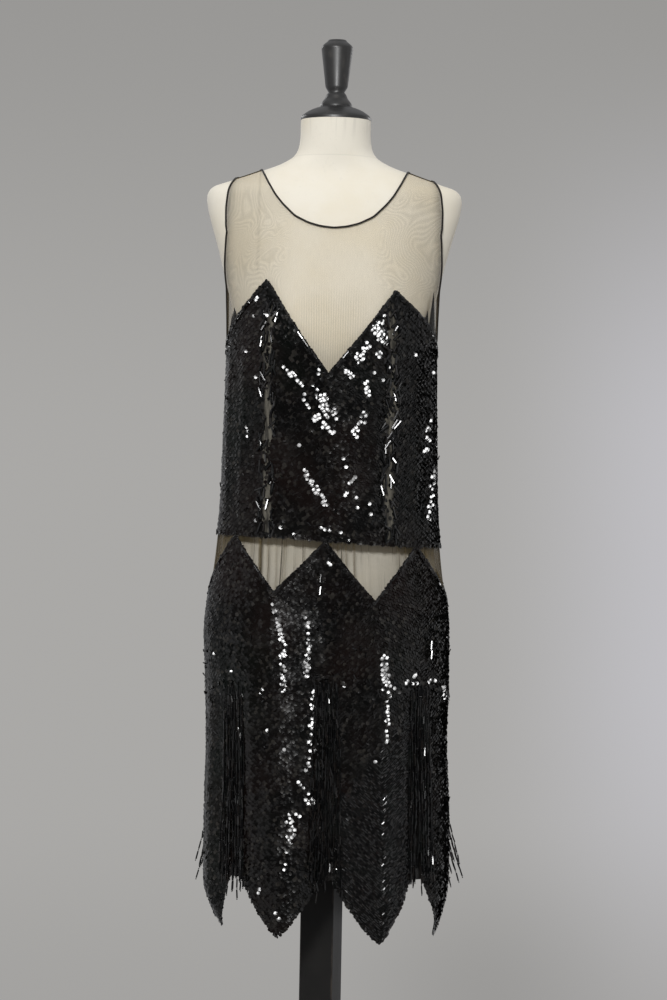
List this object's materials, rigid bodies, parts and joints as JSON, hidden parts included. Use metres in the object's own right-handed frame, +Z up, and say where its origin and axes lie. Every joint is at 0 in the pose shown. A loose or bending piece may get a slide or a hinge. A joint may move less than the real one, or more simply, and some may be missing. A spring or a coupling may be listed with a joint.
{
  "type": "sequin dress on limbless dress form with stand",
  "caption": "Sleeveless black sequin dress with sheer net yoke, gathered net hip insert, petal hem and bead fringe, on a cream limbless dress form with a black stand.",
  "frame": {"origin": "centre of the underside of the stand's square base, on the floor", "axes": "+Z up; the front of the dress faces -Y; +X is towards the wearer's left"},
  "size_m": [0.4188, 0.4188, 1.62],
  "materials": {
    "sequins": "black sequins on net",
    "net": "sheer black silk net",
    "binding": "dark bias binding",
    "beads": "black glass bugle beads",
    "canvas": "cream canvas cover",
    "black_wood": "black satin paint"
  },
  "bodies": {
    "root": {"dress_form": "canvas", "neck_cap": "black_wood", "stand_post": "black_wood", "stand_base": "black_wood", "yoke_front": "net", "yoke_back": "net", "bodice_front": "sequins", "bodice_back": "sequins", "hip_insert_front": "net", "hip_insert_back": "net", "hip_yoke_front": "sequins", "hip_yoke_back": "sequins", "neck_binding": "binding", "armhole_binding_left": "binding", "armhole_binding_right": "binding", "petal_front_left": "sequins", "petal_side_left": "sequins", "petal_back_left": "sequins", "petal_back_right": "sequins", "petal_side_right": "sequins", "petal_front_right": "sequins", "godet_centre_front": "net", "fringe_centre_front": "beads", "godet_front_left": "net", "fringe_front_left": "beads", "godet_back_left": "net", "fringe_back_left": "beads", "godet_centre_back": "net", "fringe_centre_back": "beads", "godet_back_right": "net", "fringe_back_right": "beads", "godet_front_right": "net", "fringe_front_right": "beads"}
  },
  "joints": []
}
